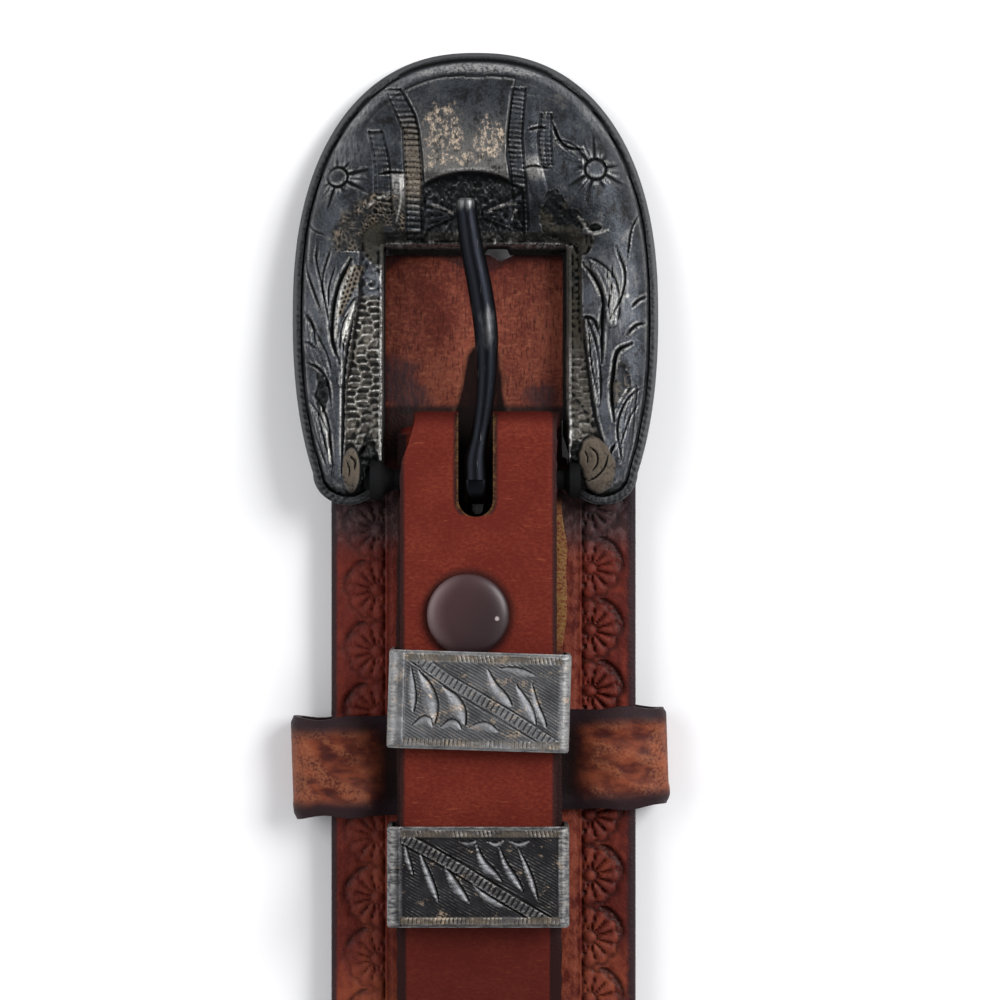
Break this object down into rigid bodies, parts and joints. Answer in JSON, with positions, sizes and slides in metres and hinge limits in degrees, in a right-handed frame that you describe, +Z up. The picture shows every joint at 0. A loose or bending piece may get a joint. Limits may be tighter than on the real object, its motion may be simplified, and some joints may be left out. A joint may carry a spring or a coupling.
{
  "type": "western tooled leather belt",
  "caption": "Flat-lying tooled leather strap that narrows to a folded billet, with an engraved horseshoe buckle, tongue, metal keepers, a snap, a leather loop and a holed tip.",
  "frame": {"origin": "on the wide strap's flat back, at the middle of its width and of the belt's whole length", "axes": "+Y along the belt towards the buckle's round end, +Z up out of the belt's face"},
  "size_m": [0.0479, 1.0436, 0.0153],
  "materials": {
    "tooled_leather": "waxed and worn, dark burnished edges",
    "plain_leather": "smooth grain, worn, raw fibrous edges",
    "loop_leather": "worn, orange-brown where rubbed",
    "aged_silver": "engraved, dark patina in the recesses, polished on the ridges",
    "keeper_silver": "engraved, tarnished warm grey",
    "dark_steel": "worn, dark with bright rubbed patches",
    "brown_cap": "satin dark brown enamel"
  },
  "bodies": {
    "strap": {"main_strap": "tooled_leather", "buckle_billet": "plain_leather", "tip_billet": "plain_leather", "strap_loop": "loop_leather", "snap_fastener": "brown_cap"},
    "buckle": {"buckle_frame": "aged_silver"},
    "tongue": {"buckle_tongue": "dark_steel"},
    "upper_keeper": {"keeper_upper": "keeper_silver"},
    "lower_keeper": {"keeper_lower": "keeper_silver"}
  },
  "joints": [
    {"name": "buckle_swing", "type": "hinge", "parent": "strap", "child": "buckle", "pos_m": [0, 0.468, 0.00855], "axis": [1, 0, 0], "range_deg": [0, 25]},
    {"name": "tongue_swing", "type": "hinge", "parent": "buckle", "child": "tongue", "pos_m": [0, 0.468, 0.00855], "axis": [1, 0, 0], "range_deg": [0, 70]},
    {"name": "keeper_upper_slide", "type": "slide", "parent": "strap", "child": "upper_keeper", "axis": [0, -1, 0], "range_m": [0, 0.004]},
    {"name": "keeper_lower_slide", "type": "slide", "parent": "strap", "child": "lower_keeper", "axis": [0, -1, 0], "range_m": [-0.004, 0.003]}
  ]
}
